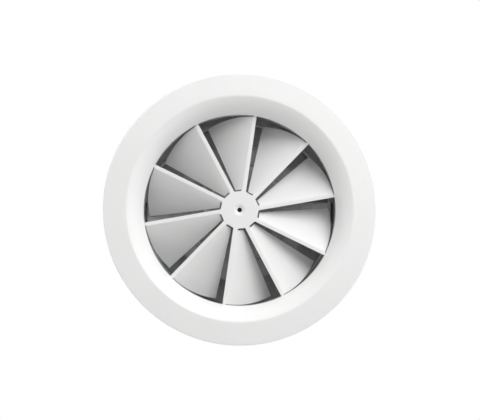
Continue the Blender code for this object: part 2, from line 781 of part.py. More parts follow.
def main():
    clear_scene()
    parts = make_collection("ceiling_swirl_diffuser")
    cutters = make_collection("cutters", hidden=True)
    build_ring(parts, cutters)
    build_core(parts, cutters)
    build_neck(parts, cutters)
    build_bridge(parts, cutters)
    build_spindle(parts, cutters)
    build_throttle(parts, cutters)
    build_rods(parts)
    build_seat(parts, cutters)


main()
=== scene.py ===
"""Round ceiling swirl diffuser: spun face ring, pressed blade core, duct neck and screw-driven throttle disc.

Run in Blender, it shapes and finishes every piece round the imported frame. The face looks down -Z.
"""

import math

import bpy
from mathutils import Matrix, Vector


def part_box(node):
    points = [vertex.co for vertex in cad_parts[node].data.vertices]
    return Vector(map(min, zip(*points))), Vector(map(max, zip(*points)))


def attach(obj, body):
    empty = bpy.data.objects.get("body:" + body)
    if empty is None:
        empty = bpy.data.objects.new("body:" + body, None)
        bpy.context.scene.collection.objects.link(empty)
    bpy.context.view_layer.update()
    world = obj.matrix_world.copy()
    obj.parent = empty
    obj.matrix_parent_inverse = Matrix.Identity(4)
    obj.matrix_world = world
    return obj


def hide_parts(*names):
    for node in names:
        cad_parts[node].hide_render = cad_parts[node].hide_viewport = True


bl_info = {
    "name": "Ceiling Swirl Diffuser",
    "version": (1, 0, 0),
    "blender": (4, 5, 0),
    "location": "View3D > Sidebar > Diffuser",
    "description": "Shapes and finishes a round ceiling swirl diffuser",
    "category": "Object",
}

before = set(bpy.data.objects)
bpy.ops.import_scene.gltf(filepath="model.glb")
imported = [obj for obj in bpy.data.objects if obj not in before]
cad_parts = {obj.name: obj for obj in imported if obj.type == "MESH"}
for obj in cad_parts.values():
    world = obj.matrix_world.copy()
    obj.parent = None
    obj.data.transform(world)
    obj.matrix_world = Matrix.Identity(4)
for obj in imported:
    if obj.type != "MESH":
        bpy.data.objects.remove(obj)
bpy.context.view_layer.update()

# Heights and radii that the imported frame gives
RING_LOW, RING_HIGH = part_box("face_ring")
CORE_LOW, CORE_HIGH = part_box("swirl_core")
NECK_LOW, NECK_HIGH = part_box("neck_collar")
BAR_LOW, BAR_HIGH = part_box("bridge_bar")
DISC_LOW, DISC_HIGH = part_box("throttle_disc")
SEAT_LOW, SEAT_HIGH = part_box("seat_ring")
GASKET_LOW, GASKET_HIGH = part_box("ceiling_gasket")
SEAL_LOW, SEAL_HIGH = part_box("lip_seal")

ROUND = 240
SMALL_ROUND = 48
RIVET_ROUND = 24
GAP = 0.0003


# ---------------------------------------------------------------- modelling helpers


def deselect_all():
    bpy.ops.object.select_all(action="DESELECT")


def named(obj, name):
    obj.name = name
    obj.data.name = name
    return obj


def apply_place(obj):
    """Puts the object's place into its mesh and leaves the object at the origin."""
    deselect_all()
    obj.select_set(True)
    bpy.context.view_layer.objects.active = obj
    bpy.ops.object.transform_apply(location=True, rotation=True, scale=True)
    return obj


def open_edit(obj):
    deselect_all()
    obj.select_set(True)
    bpy.context.view_layer.objects.active = obj
    bpy.ops.object.mode_set(mode="EDIT")


def close_edit():
    bpy.ops.object.mode_set(mode="OBJECT")


def select_where(obj, test):
    """Selects the vertices that pass a test on their place."""
    bpy.ops.mesh.select_mode(type="VERT")
    bpy.ops.mesh.select_all(action="DESELECT")
    bpy.ops.object.mode_set(mode="OBJECT")
    for vertex in obj.data.vertices:
        vertex.select = bool(test(obj.matrix_world @ vertex.co))
    bpy.ops.object.mode_set(mode="EDIT")


def smooth(obj, degrees):
    """Shades the piece smooth, except over edges sharper than this."""
    deselect_all()
    obj.select_set(True)
    bpy.context.view_layer.objects.active = obj
    bpy.ops.object.shade_smooth_by_angle(angle=math.radians(degrees))


def outward(obj):
    """Merges doubled points and points every face of a closed piece outwards."""
    open_edit(obj)
    bpy.ops.mesh.select_all(action="SELECT")
    bpy.ops.mesh.remove_doubles(threshold=0.000002)
    bpy.ops.mesh.normals_make_consistent(inside=False)
    close_edit()


def soften(obj, width, segments=2, degrees=40):
    """Rounds the sharp edges of a piece."""
    bevel = obj.modifiers.new("Softened", "BEVEL")
    bevel.width = width
    bevel.segments = segments
    bevel.limit_method = "ANGLE"
    bevel.angle_limit = math.radians(degrees)
    bevel.miter_outer = "MITER_ARC"
    bpy.context.view_layer.objects.active = obj
    bpy.ops.object.modifier_apply(modifier=bevel.name)


def combine(obj, other, operation):
    """Cuts another piece out of this one, or joins it on, and removes the other."""
    boolean = obj.modifiers.new("Combined", "BOOLEAN")
    boolean.operation = operation
    boolean.solver = "EXACT"
    boolean.object = other
    bpy.context.view_layer.objects.active = obj
    bpy.ops.object.modifier_apply(modifier=boolean.name)
    bpy.data.objects.remove(other, do_unlink=True)


def drill(obj, places, radius, depth, sides=24):
    """Drills a round hole through the piece at each (place, direction)."""
    drills = []
    for place, direction in places:
        deselect_all()
        turn = Vector(direction).to_track_quat("Z", "Y").to_euler()
        bpy.ops.mesh.primitive_cylinder_add(
            vertices=sides, radius=radius, depth=depth, location=place, rotation=turn
        )
        drills.append(apply_place(bpy.context.object))
    deselect_all()
    for tool in drills:
        tool.select_set(True)
    bpy.context.view_layer.objects.active = drills[0]
    if len(drills) > 1:
        bpy.ops.object.join()
    combine(obj, bpy.context.view_layer.objects.active, "DIFFERENCE")


def turned(name, profile, steps=SMALL_ROUND, hollow=True):
    """Turns a piece on the Z axis, ring by ring, through its (radius, height) points.

    A hollow piece's profile closes on itself. A solid one runs from its top face to its bottom face.
    """
    deselect_all()
    radius, height = profile[0]
    bpy.ops.mesh.primitive_circle_add(vertices=steps, radius=radius, location=(0, 0, height))
    obj = apply_place(named(bpy.context.object, name))
    open_edit(obj)
    bpy.ops.mesh.select_all(action="SELECT")
    if hollow:
        follow = profile[1:] + profile[:1]
    else:
        follow = profile[1:]
        bpy.ops.mesh.edge_face_add()
        bpy.ops.mesh.select_mode(type="EDGE")
        bpy.ops.mesh.select_all(action="DESELECT")
        bpy.ops.object.mode_set(mode="OBJECT")
        for edge in obj.data.edges:
            edge.select = True
        for polygon in obj.data.polygons:
            polygon.select = False
        bpy.ops.object.mode_set(mode="EDIT")
    for next_radius, next_height in follow:
        bpy.ops.mesh.extrude_edges_move(
            TRANSFORM_OT_translate={"value": (0, 0, next_height - height)}
        )
        scale = next_radius / radius
        if abs(scale - 1) > 1e-9:
            bpy.ops.transform.resize(value=(scale, scale, 1), center_override=(0, 0, 0))
        radius, height = next_radius, next_height
    if not hollow:
        bpy.ops.mesh.edge_face_add()
    close_edit()
    outward(obj)
    return obj


def copies(obj, name, places):
    """Copies of a piece made about the origin along +Z, one at each (place, direction)."""
    made = []
    for number, (place, direction) in enumerate(places, 1):
        copy = obj.copy()
        copy.data = obj.data.copy()
        bpy.context.scene.collection.objects.link(copy)
        named(copy, f"{name}_{number}")
        turn = Vector(direction).to_track_quat("Z", "Y").to_matrix().to_4x4()
        copy.matrix_world = Matrix.Translation(place) @ turn
        made.append(apply_place(copy))
    bpy.data.objects.remove(obj, do_unlink=True)
    return made


def finish_piece(obj, body, nodes, material, degrees=28):
    """Shades a piece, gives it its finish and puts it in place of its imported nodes."""
    smooth(obj, degrees)
    weights = obj.modifiers.new("Flat faces first", "WEIGHTED_NORMAL")
    weights.keep_sharp = True
    bpy.context.view_layer.objects.active = obj
    bpy.ops.object.modifier_apply(modifier=weights.name)
    obj.data.materials.clear()
    obj.data.materials.append(material)
    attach(obj, body)
    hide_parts(*nodes)


# ---------------------------------------------------------------- profiles


def arc(centre, radius, start, end, steps):
    """Points on a round bend, from one angle to another in degrees."""
    points = []
    for step in range(steps + 1):
        angle = math.radians(start + (end - start) * step / steps)
        points.append((centre[0] + radius * math.cos(angle), centre[1] + radius * math.sin(angle)))
    return points


def curve_between(start, middle, end, steps):
    """A smooth curve that leaves and arrives along the lines to its middle point."""
    start, middle, end = Vector(start), Vector(middle), Vector(end)
    points = []
    for step in range(steps + 1):
        t = step / steps
        points.append(tuple(start * (1 - t) ** 2 + middle * 2 * t * (1 - t) + end * t * t))
    return points


def sheet_profile(skin, thickness):
    """The skin line of a sheet piece, then its back line, set back to the right of the skin."""
    points = [Vector(point) for point in skin]
    normals = []
    for first, second in zip(points, points[1:]):
        along = (second - first).normalized()
        normals.append(Vector((along.y, -along.x)))
    back = []
    for index, point in enumerate(points):
        before = normals[max(index - 1, 0)]
        after = normals[min(index, len(normals) - 1)]
        middle = (before + after).normalized()
        back.append(point + middle * thickness / middle.dot(after))
    return [tuple(point) for point in points + back[::-1]]


def circle_places(count, radius, height, start=0.0):
    """Evenly spaced places round the Z axis, each facing up."""
    places = []
    for index in range(count):
        angle = start + 2 * math.pi * index / count
        places.append(((radius * math.cos(angle), radius * math.sin(angle), height), (0, 0, 1)))
    return places


# ---------------------------------------------------------------- sizes and colours


class DiffuserSizes(bpy.types.PropertyGroup):
    """Sizes of the diffuser's pieces"""

    face_radius: bpy.props.FloatProperty(
        name="Face radius", description="Outer radius of the face ring", default=RING_HIGH.x, unit="LENGTH"
    )
    bead_radius: bpy.props.FloatProperty(
        name="Bead radius",
        description="Where the flat face turns into the mouth", default=0.146, unit="LENGTH"
    )
    throat_radius: bpy.props.FloatProperty(
        name="Throat radius", description="Narrowest radius of the mouth", default=0.1238, unit="LENGTH"
    )
    face_slope: bpy.props.FloatProperty(
        name="Face slope",
        description="How far the face leans back", default=math.radians(3.5), subtype="ANGLE"
    )
    ring_sheet: bpy.props.FloatProperty(
        name="Ring sheet", description="Sheet thickness of the face ring", default=0.0015, unit="LENGTH"
    )
    rim_bend: bpy.props.FloatProperty(
        name="Rim bend", description="Radius of the turned outer rim", default=0.002, unit="LENGTH"
    )
    throat_fold: bpy.props.FloatProperty(
        name="Throat fold",
        description="Radius of the fold behind the throat", default=0.0019, unit="LENGTH"
    )
    blades: bpy.props.IntProperty(name="Blades", description="Blades round the core", default=10, min=3)
    blade_tilt: bpy.props.FloatProperty(
        name="Blade tilt",
        description="How far each blade is bent back", default=math.radians(33), subtype="ANGLE"
    )
    first_blade: bpy.props.FloatProperty(
        name="First blade",
        description="Turn of the first blade", default=math.radians(-9.94), subtype="ANGLE"
    )
    core_sheet: bpy.props.FloatProperty(
        name="Core sheet", description="Sheet thickness of the core", default=0.0012, unit="LENGTH"
    )
    hub_radius: bpy.props.FloatProperty(
        name="Hub radius", description="Radius of the hub's corners", default=0.0246, unit="LENGTH"
    )
    edge_offset: bpy.props.FloatProperty(
        name="Edge offset",
        description="Front edge's distance beside the centre", default=0.0048, unit="LENGTH"
    )
    spoke_width: bpy.props.FloatProperty(
        name="Spoke width",
        description="Width of the flat strip along a blade", default=0.0039, unit="LENGTH"
    )
    neck_width: bpy.props.FloatProperty(
        name="Neck width",
        description="Width of a spoke where it leaves the hub", default=0.0063, unit="LENGTH"
    )
    slot_width: bpy.props.FloatProperty(
        name="Slot width", description="Sheared slot behind a blade", default=0.0012, unit="LENGTH"
    )
    blade_radius: bpy.props.FloatProperty(
        name="Blade radius", description="Radius of the blades' outer edge", default=0.1228, unit="LENGTH"
    )
    neck_radius: bpy.props.FloatProperty(
        name="Neck radius", description="Outer radius of the neck", default=0.1245, unit="LENGTH"
    )
    neck_sheet: bpy.props.FloatProperty(
        name="Neck sheet", description="Sheet thickness of the neck", default=0.001, unit="LENGTH"
    )
    disc_radius: bpy.props.FloatProperty(
        name="Disc radius", description="Radius of the throttle disc", default=DISC_HIGH.x, unit="LENGTH"
    )
    spindle_radius: bpy.props.FloatProperty(
        name="Spindle radius", description="Radius of the threaded spindle", default=0.004, unit="LENGTH"
    )
    thread_lead: bpy.props.FloatProperty(
        name="Thread lead", description="Lift of the disc for each turn", default=0.004, unit="LENGTH"
    )


class DiffuserFinishes(bpy.types.PropertyGroup):
    """Colours of the diffuser's finishes"""

    powder_coat: bpy.props.FloatVectorProperty(
        name="Powder coat",
        description="White of the visible sheet", subtype="COLOR", default=(0.86, 0.865, 0.855)
    )
    galvanised: bpy.props.FloatVectorProperty(
        name="Galvanised", description="Zinc of the neck", subtype="COLOR", default=(0.43, 0.435, 0.44)
    )
    zinc_plate: bpy.props.FloatVectorProperty(
        name="Zinc plate",
        description="Plating of the rods and clips", subtype="COLOR", default=(0.52, 0.53, 0.55)
    )
    # The spindle's near-black colour is painted shade: it darkens the hole at the hub's centre, where only
    # shade falls, and is not a real black finish.
    spindle_shade_black: bpy.props.FloatVectorProperty(
        name="Spindle painted shade",
        description="Near-black spindle, painted shade for the hub hole", subtype="COLOR", default=(0.06, 0.06, 0.065)
    )
    rivet_metal: bpy.props.FloatVectorProperty(
        name="Rivets", description="Bare rivet metal", subtype="COLOR", default=(0.76, 0.76, 0.77)
    )
    rubber: bpy.props.FloatVectorProperty(
        name="Rubber", description="Lip seal", subtype="COLOR", default=(0.028, 0.028, 0.03)
    )
    foam: bpy.props.FloatVectorProperty(
        name="Foam", description="Ceiling gasket", subtype="COLOR", default=(0.16, 0.165, 0.17)
    )
    nylon: bpy.props.FloatVectorProperty(
        name="Nylon", description="Bushes", subtype="COLOR", default=(0.78, 0.76, 0.68)
    )
    brass: bpy.props.FloatVectorProperty(
        name="Brass", description="Disc nut", subtype="COLOR", default=(0.78, 0.56, 0.22)
    )


# ---------------------------------------------------------------- finishes


class Finish:
    """A material under construction: a Principled shader and patterns on Object coordinates."""

    def __init__(self, name, metallic, roughness):
        self.material = bpy.data.materials.new(name)
        self.material.use_nodes = True
        self.nodes = self.material.node_tree.nodes
        self.links = self.material.node_tree.links
        self.shader = self.nodes["Principled BSDF"]
        self.shader.inputs["Metallic"].default_value = metallic
        self.shader.inputs["Roughness"].default_value = roughness
        self.place = self.nodes.new("ShaderNodeTexCoord")
        self.normal = None

    def mapped(self, scale):
        mapping = self.nodes.new("ShaderNodeMapping")
        mapping.inputs["Scale"].default_value = scale
        self.links.new(self.place.outputs["Object"], mapping.inputs["Vector"])
        return mapping.outputs["Vector"]

    def noise(self, scale, detail=3.0, stretch=(1, 1, 1)):
        node = self.nodes.new("ShaderNodeTexNoise")
        node.inputs["Scale"].default_value = scale
        node.inputs["Detail"].default_value = detail
        self.links.new(self.mapped(stretch), node.inputs["Vector"])
        return node.outputs["Fac"]

    def cells(self, scale, output="Color"):
        node = self.nodes.new("ShaderNodeTexVoronoi")
        node.inputs["Scale"].default_value = scale
        self.links.new(self.place.outputs["Object"], node.inputs["Vector"])
        return node.outputs[output]

    def spread(self, value, low, high, start=0.3, end=0.7):
        """Maps a pattern onto a range."""
        node = self.nodes.new("ShaderNodeMapRange")
        node.inputs["From Min"].default_value = start
        node.inputs["From Max"].default_value = end
        node.inputs["To Min"].default_value = low
        node.inputs["To Max"].default_value = high
        self.links.new(value, node.inputs["Value"])
        return node.outputs["Result"]

    def colour(self, value, colour, low, high, start=0.3, end=0.7):
        """The base colour, from low to high times the colour, by the pattern."""
        ramp = self.nodes.new("ShaderNodeValToRGB")
        ramp.color_ramp.elements[0].position = start
        ramp.color_ramp.elements[1].position = end
        ramp.color_ramp.elements[0].color = (*(part * low for part in colour), 1)
        ramp.color_ramp.elements[1].color = (*(min(part * high, 1) for part in colour), 1)
        self.links.new(value, ramp.inputs["Fac"])
        self.links.new(ramp.outputs["Color"], self.shader.inputs["Base Color"])

    def roughness(self, value, low, high):
        self.links.new(self.spread(value, low, high), self.shader.inputs["Roughness"])

    def bump(self, value, strength, distance):
        node = self.nodes.new("ShaderNodeBump")
        node.inputs["Strength"].default_value = strength
        node.inputs["Distance"].default_value = distance
        self.links.new(value, node.inputs["Height"])
        if self.normal:
            self.links.new(self.normal, node.inputs["Normal"])
        self.normal = node.outputs["Normal"]
        self.links.new(self.normal, self.shader.inputs["Normal"])


FINISHES = {}


def make_finishes(colours):
    """Makes each finish once: real-scale texture for paint, metal, rubber, foam and plastic."""
    paint = Finish("white_powder_coat", 0.0, 0.42)
    paint.colour(paint.noise(9, 2), colours.powder_coat, 0.985, 1.01)
    paint.roughness(paint.noise(60, 4), 0.38, 0.47)
    paint.bump(paint.noise(1300, 2), 0.10, 0.00004)
    FINISHES["paint"] = paint.material

    zinc_sheet = Finish("galvanised_sheet", 1.0, 0.42)
    spangle = zinc_sheet.cells(150)
    zinc_sheet.colour(spangle, colours.galvanised, 0.8, 1.12, 0.1, 0.9)
    zinc_sheet.roughness(spangle, 0.34, 0.5)
    zinc_sheet.bump(zinc_sheet.noise(700, 4), 0.12, 0.00004)
    FINISHES["galvanised"] = zinc_sheet.material

    plate = Finish("zinc_plated_turning", 1.0, 0.28)
    plate.colour(plate.noise(90, 3), colours.zinc_plate, 0.9, 1.06)
    plate.roughness(plate.noise(400, 2, (0.2, 0.2, 6)), 0.2, 0.36)
    plate.bump(plate.noise(300, 2, (0.05, 0.05, 12)), 0.15, 0.00002)
    FINISHES["plate"] = plate.material

    # Near-black spindle finish, painted shade: it stands in for the shade deep in the hub's hole and socket.
    spindle = Finish("spindle_painted_shade", 1.0, 0.4)
    spindle.colour(spindle.noise(90, 3), colours.spindle_shade_black, 0.8, 1.2)
    spindle.roughness(spindle.noise(400, 2, (0.2, 0.2, 6)), 0.34, 0.48)
    spindle.bump(spindle.noise(300, 2, (0.05, 0.05, 12)), 0.15, 0.00002)
    FINISHES["spindle"] = spindle.material

    rivet = Finish("rivet_aluminium", 1.0, 0.36)
    rivet.colour(rivet.noise(500, 3), colours.rivet_metal, 0.88, 1.05)
    rivet.roughness(rivet.noise(900, 3), 0.28, 0.46)
    rivet.bump(rivet.noise(2200, 2), 0.18, 0.00003)
    FINISHES["rivet"] = rivet.material

    rubber = Finish("seal_rubber", 0.0, 0.72)
    rubber.colour(rubber.noise(70, 4), colours.rubber, 0.8, 1.5)
    rubber.roughness(rubber.noise(260, 3), 0.62, 0.82)
    rubber.bump(rubber.noise(1800, 2), 0.25, 0.00005)
    FINISHES["rubber"] = rubber.material

    foam = Finish("gasket_foam", 0.0, 0.95)
    foam.colour(foam.cells(1100, "Distance"), colours.foam, 0.55, 1.25, 0.1, 0.7)
    foam.bump(foam.cells(1100, "Distance"), 0.7, 0.0003)
    foam.bump(foam.noise(350, 4), 0.3, 0.0002)
    FINISHES["foam"] = foam.material

    nylon = Finish("bush_nylon", 0.0, 0.46)
    nylon.shader.inputs["Subsurface Weight"].default_value = 0.12
    nylon.shader.inputs["Subsurface Scale"].default_value = 0.002
    nylon.colour(nylon.noise(160, 3), colours.nylon, 0.94, 1.04)
    nylon.roughness(nylon.noise(600, 3), 0.4, 0.54)
    nylon.bump(nylon.noise(1500, 2), 0.12, 0.00003)
    FINISHES["nylon"] = nylon.material

    brass = Finish("nut_brass", 1.0, 0.3)
    brass.colour(brass.noise(120, 3), colours.brass, 0.86, 1.05)
    brass.roughness(brass.noise(400, 2, (0.2, 0.2, 5)), 0.22, 0.4)
    brass.bump(brass.noise(300, 2, (0.05, 0.05, 12)), 0.15, 0.00002)
    FINISHES["brass"] = brass.material


def plain_finish(name, colour, roughness):
    finish = Finish(name, 0.0, roughness)
    finish.colour(finish.noise(3, 2), colour, 0.99, 1.01)
    return finish.material


# ---------------------------------------------------------------- shared sizes and places

FLANGE_RADIUS = 0.136
FLANGE_RIVETS = 5
FLANGE_RIVET_CIRCLE = 0.1305
FLANGE_RIVET_START = math.radians(3)
RIVET_RADIUS = 0.0016
RIVET_HOLE = RIVET_RADIUS + GAP
BRIDGE_SHEET = 0.002
BRIDGE_RIVET_HEIGHT = BAR_LOW.z + 0.011
BRIDGE_RIVET_SHIFT = 0.007
SEAT_RIVET_HEIGHT = SEAT_LOW.z + 0.0085
DISC_RIVET_CIRCLE = 0.0145
DISC_RIVETS = 3
SEAT_RIVETS = 4
SEAT_SHEET = 0.001
ROD_SPACING = 0.046
GASKET_INNER = 0.156


def flange_rivet_places(height):
    return circle_places(FLANGE_RIVETS, FLANGE_RIVET_CIRCLE, height, FLANGE_RIVET_START)


def bridge_rivet_places(distance):
    places = []
    for side in (1, -1):
        for shift in (-BRIDGE_RIVET_SHIFT, BRIDGE_RIVET_SHIFT):
            places.append(((side * distance, shift, BRIDGE_RIVET_HEIGHT), (-side, 0, 0)))
    return places


def seat_rivet_places(distance):
    places = []
    for place, _ in circle_places(SEAT_RIVETS, distance, SEAT_RIVET_HEIGHT, math.radians(45)):
        places.append((place, (-place[0], -place[1], 0)))
    return places


# ---------------------------------------------------------------- pieces


class DIFFUSER_OT_face_ring(bpy.types.Operator):
    """Spin the face ring: turned rim, sloping face, flared mouth and the fold behind the throat"""

    bl_idname = "diffuser.face_ring"
    bl_label = "Face Ring"

    FACE_POINTS = (0.165, 0.156)
    FACE_END = 0.002
    MOUTH_START = (0.0015, 0.00035)
    MOUTH_ANGLE = math.radians(25)
    THROAT_ANGLE = math.radians(62)

    def execute(self, context):
        sizes = context.scene.diffuser_sizes
        slope = math.tan(sizes.face_slope)
        corner = sizes.face_radius - sizes.rim_bend
        rim_height = (corner - sizes.bead_radius) * slope + sizes.rim_bend
        skin = [(sizes.face_radius, GASKET_HIGH.z)]
        skin += arc((corner, rim_height), sizes.rim_bend, 0, math.degrees(sizes.face_slope) - 90, 8)
        face_end = sizes.bead_radius + self.FACE_END
        skin += [(radius, (radius - sizes.bead_radius) * slope) for radius in self.FACE_POINTS]
        start = Vector((sizes.bead_radius - self.MOUTH_START[0], self.MOUTH_START[1]))
        lead = math.tan(self.MOUTH_ANGLE)
        arrive = math.tan(self.THROAT_ANGLE)
        turn_radius = (start.y + start.x * lead + sizes.bead_radius * slope) / (slope + lead)
        turn_height = (turn_radius - sizes.bead_radius) * slope
        face_edge = (face_end, (face_end - sizes.bead_radius) * slope)
        skin += curve_between(face_edge, (turn_radius, turn_height), tuple(start), 8)
        end = Vector((sizes.throat_radius, RING_HIGH.z - sizes.throat_fold))
        across = ((start.x - end.x) * arrive - (end.y - start.y)) / (arrive - lead)
        skin += curve_between(start, (start.x - across, start.y + across * lead), end, 30)[1:]
        fold = (sizes.throat_radius + sizes.throat_fold, RING_HIGH.z - sizes.throat_fold)
        skin += arc(fold, sizes.throat_fold, 180, 90, 8)[1:]
        skin.append((FLANGE_RADIUS, RING_HIGH.z))
        ring = turned("face_ring_spun", sheet_profile(skin, sizes.ring_sheet), ROUND)
        drill(ring, flange_rivet_places(RING_HIGH.z), RIVET_HOLE, 4 * sizes.ring_sheet)
        finish_piece(ring, "housing", ["face_ring"], FINISHES["paint"], 35)
        return {"FINISHED"}


class DIFFUSER_OT_swirl_core(bpy.types.Operator):
    """Press the swirl core: hub with its dimple, flat spokes and blades bent back beside them"""

    bl_idname = "diffuser.swirl_core"
    bl_label = "Swirl Core"

    SLIT_WIDTH = 0.0022
    FOLD_RADIUS = 0.003
    FOLD_STEPS = 6
    RIM_INNER = 0.1243
    RIM_OUTER = 0.134
    DIMPLE_EDGE = 0.0078
    DIMPLE = (
        (0.0069, 0.00004), (0.0063, 0.0003), (0.0056, 0.0008), (0.0048, 0.0014), (0.0041, 0.0018),
        (0.0036, 0.00195), (0.0030, 0.002),
    )

    def execute(self, context):
        sizes = context.scene.diffuser_sizes
        blade = self.one_blade(sizes)
        hub = self.hub(sizes)
        core = self.assemble(sizes, blade, hub)
        self.thicken(sizes, core)
        finish_piece(core, "housing", ["swirl_core"], FINISHES["paint"], 30)
        return {"FINISHED"}

    def one_blade(self, sizes):
        """One blade with its spoke, along +X with the blade on its -Y side, sheared flat and then bent."""
        pitch = 2 * math.pi / sizes.blades
        offset = sizes.edge_offset
        bend = offset - sizes.spoke_width
        neck = offset - sizes.neck_width
        deselect_all()
        bpy.ops.mesh.primitive_circle_add(vertices=360, radius=sizes.blade_radius, fill_type="NGON")
        blade = named(bpy.context.object, "blade_blank")
        open_edit(blade)

        def shear(place, normal, inner=False, outer=False):
            bpy.ops.mesh.select_all(action="SELECT")
            bpy.ops.mesh.bisect(plane_co=place, plane_no=normal, clear_inner=inner, clear_outer=outer)

        shear((0, offset, 0), (0, 1, 0), outer=True)
        back = Vector((-math.sin(pitch), -math.cos(pitch), 0))
        shear(-back * (offset + sizes.slot_width), back, outer=True)
        chord_start = math.asin(-neck / sizes.hub_radius)
        chord_end = pitch - math.asin(offset / sizes.hub_radius)
        middle = (chord_start + chord_end) / 2
        slit = sizes.hub_radius * math.cos((chord_end - chord_start) / 2) + self.SLIT_WIDTH
        inward = Vector((math.cos(middle), -math.sin(middle), 0))
        shear(inward * slit, inward, inner=True)
        run = self.FOLD_RADIUS * sizes.blade_tilt
        folds = [bend - run * (step + 0.5) / self.FOLD_STEPS for step in range(self.FOLD_STEPS)]
        shear((0, bend, 0), (0, 1, 0))
        shear((0, neck, 0), (0, 1, 0))
        for fold in folds:
            shear((0, fold, 0), (0, 1, 0))
        for fold in reversed(folds):
            select_where(blade, lambda point, fold=fold: point.y < fold - 1e-6 or point.z > 1e-6)
            bpy.ops.transform.rotate(
                value=sizes.blade_tilt / self.FOLD_STEPS, orient_axis="X", center_override=(0, fold, 0)
            )
        close_edit()
        low = min(vertex.co.z for vertex in blade.data.vertices)
        if low < -1e-5:
            for vertex in blade.data.vertices:
                vertex.co.z = -vertex.co.z
        top = max(vertex.co.z for vertex in blade.data.vertices)
        if not 0.02 < top < 0.05:
            raise RuntimeError(f"the blade came out {top * 1000:.1f} mm deep")
        hub_front = math.sqrt(sizes.hub_radius**2 - offset**2)
        hub_back = math.sqrt(sizes.hub_radius**2 - neck**2)
        open_edit(blade)
        near = 0.040
        select_where(blade, lambda point: point.x < near and point.y > neck)
        bpy.ops.mesh.extrude_edges_move(TRANSFORM_OT_translate={"value": (-0.0005, 0, 0)})
        close_edit()
        for vertex in blade.data.vertices:
            if vertex.select:
                on_front = vertex.co.y > bend + 1e-5
                vertex.co = (hub_front, offset, 0) if on_front else (hub_back, neck, 0)
        open_edit(blade)
        edge = math.sqrt(sizes.blade_radius**2 - offset**2) - 0.0001
        select_where(blade, lambda point: point.x > edge and point.y > bend - 1e-6 and abs(point.z) < 1e-6)
        bpy.ops.mesh.extrude_edges_move(TRANSFORM_OT_translate={"value": (0.005, 0, 0)})
        close_edit()
        return blade

    def hub(self, sizes):
        """The flat hub: a corner at each spoke's two edges, and a dimple pressed round its hole."""
        deselect_all()
        bpy.ops.mesh.primitive_circle_add(vertices=2 * sizes.blades, radius=sizes.hub_radius)
        hub = named(bpy.context.object, "hub_blank")
        front = math.asin(sizes.edge_offset / sizes.hub_radius)
        back = math.asin((sizes.edge_offset - sizes.neck_width) / sizes.hub_radius)
        for index in range(2 * sizes.blades):
            spoke = sizes.first_blade - 2 * math.pi * (index // 2) / sizes.blades
            angle = spoke + (back if index % 2 else front)
            # Corners run clockwise seen from above, as the circle's own points do when taken in reverse.
            corner = hub.data.vertices[(2 * sizes.blades - index) % (2 * sizes.blades)]
            corner.co = (sizes.hub_radius * math.cos(angle), sizes.hub_radius * math.sin(angle), 0)
        open_edit(hub)
        bpy.ops.mesh.primitive_circle_add(vertices=60, radius=self.DIMPLE_EDGE)
        bpy.ops.mesh.select_all(action="SELECT")
        bpy.ops.mesh.bridge_edge_loops()
        select_where(hub, lambda point: point.length < 0.009)
        radius, height = self.DIMPLE_EDGE, 0.0
        for next_radius, next_height in self.DIMPLE:
            bpy.ops.mesh.extrude_edges_move(TRANSFORM_OT_translate={"value": (0, 0, next_height - height)})
            scale = next_radius / radius
            bpy.ops.transform.resize(value=(scale, scale, 1), center_override=(0, 0, 0))
            radius, height = next_radius, next_height
        close_edit()
        return hub

    def assemble(self, sizes, blade, hub):
        """Copies the blade round the hub and merges it all into one sheet at the core's height."""
        pieces = [hub]
        for index in range(sizes.blades):
            copy = blade.copy()
            copy.data = blade.data.copy()
            bpy.context.scene.collection.objects.link(copy)
            copy.rotation_euler = (0, 0, sizes.first_blade - 2 * math.pi * index / sizes.blades)
            pieces.append(apply_place(copy))
        bpy.data.objects.remove(blade, do_unlink=True)
        deselect_all()
        for piece in pieces:
            piece.select_set(True)
        bpy.context.view_layer.objects.active = hub
        bpy.ops.object.join()
        core = named(hub, "swirl_core_pressed")
        core.location = (0, 0, CORE_LOW.z)
        apply_place(core)
        open_edit(core)
        bpy.ops.mesh.select_all(action="SELECT")
        bpy.ops.mesh.remove_doubles(threshold=0.00002)
        bpy.ops.mesh.normals_make_consistent(inside=False)
        close_edit()
        upwards = sum(face.normal.z * face.area for face in core.data.polygons)
        if upwards < 0:
            open_edit(core)
            bpy.ops.mesh.select_all(action="SELECT")
            bpy.ops.mesh.flip_normals()
            close_edit()
        return core

    def thicken(self, sizes, core):
        """Gives the sheet its thickness and soft sheared edges, and joins on the clamped rim."""
        sheet = core.modifiers.new("Sheet", "SOLIDIFY")
        sheet.thickness = sizes.core_sheet
        sheet.offset = 1
        sheet.use_even_offset = True
        bpy.context.view_layer.objects.active = core
        bpy.ops.object.modifier_apply(modifier=sheet.name)
        outward(core)
        soften(core, 0.00022, 2, 50)
        low = CORE_LOW.z
        high = low + sizes.core_sheet
        outer, inner = self.RIM_OUTER, self.RIM_INNER
        rim = turned("core_rim", [(outer, high), (outer, low), (inner, low), (inner, high)], ROUND)
        combine(core, rim, "UNION")
        drill(core, flange_rivet_places(low), RIVET_HOLE, 4 * sizes.core_sheet)


